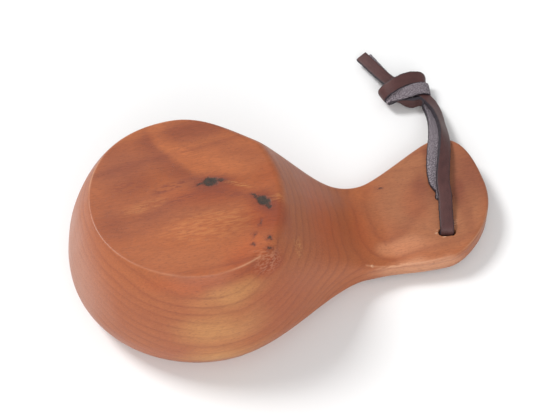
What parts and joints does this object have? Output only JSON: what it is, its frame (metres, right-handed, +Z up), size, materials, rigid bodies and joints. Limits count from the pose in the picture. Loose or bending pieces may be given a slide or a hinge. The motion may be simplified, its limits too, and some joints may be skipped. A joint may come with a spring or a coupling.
{
  "type": "wooden cup",
  "caption": "Carved wooden drinking cup with a flat handle and a knotted leather lace through two slots in the handle.",
  "frame": {"origin": "middle of the cup's footprint on the surface it rests on, rim down", "axes": "+Z up, out of the flat base, because the cup rests on its rim; +X along the handle; +Y the side the lace lies on. Turning the row 180 degrees about X stands the cup on its base"},
  "size_m": [0.1585, 0.1314, 0.046],
  "materials": {
    "oiled_wood": "oiled, tool-carved, satin",
    "brown_leather": "smooth brown grain side, grey suede flesh side"
  },
  "bodies": {
    "cup": {"cup": "oiled_wood", "thong_bight": "brown_leather"},
    "thong": {"thong_strand_near": "brown_leather", "thong_strand_far": "brown_leather", "thong_knot": "brown_leather", "thong_tail_a": "brown_leather", "thong_tail_b": "brown_leather"}
  },
  "joints": [
    {"name": "thong_swing", "type": "hinge", "parent": "cup", "child": "thong", "pos_m": [0.0628, 0.0063, 0.01495], "axis": [0.9703, -0.2419, 0], "range_deg": [0, 100]}
  ]
}
